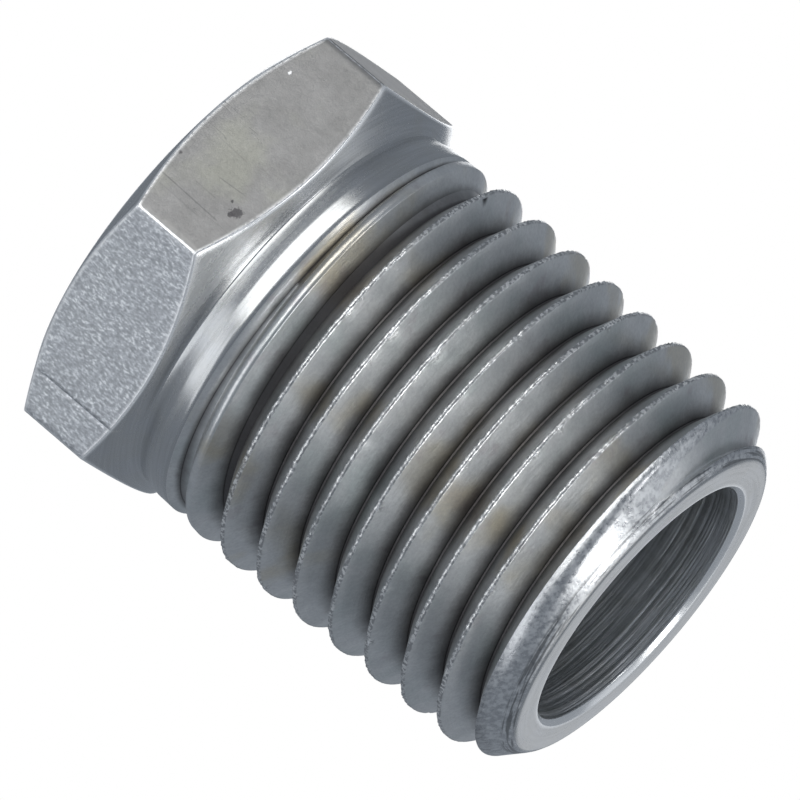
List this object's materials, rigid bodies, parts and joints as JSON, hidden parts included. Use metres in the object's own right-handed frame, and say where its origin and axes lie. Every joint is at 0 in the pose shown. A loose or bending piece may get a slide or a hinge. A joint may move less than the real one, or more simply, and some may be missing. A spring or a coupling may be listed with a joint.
{
  "type": "hex reducing nipple",
  "caption": "Hexagon-headed pipe nipple with a tapered outside thread, a chamfered tip, and a bore with a smaller inside thread entering from the head.",
  "frame": {"origin": "centre of the head's outer face, which the part stands on", "axes": "+Z along the bore axis, from the head to the tip of the outside thread; +X through a corner of the hexagon"},
  "size_m": [0.0164, 0.0142, 0.0181],
  "materials": {
    "plated_steel": "satin zinc-plated steel"
  },
  "bodies": {
    "root": {"bushing_body": "plated_steel"}
  },
  "joints": []
}
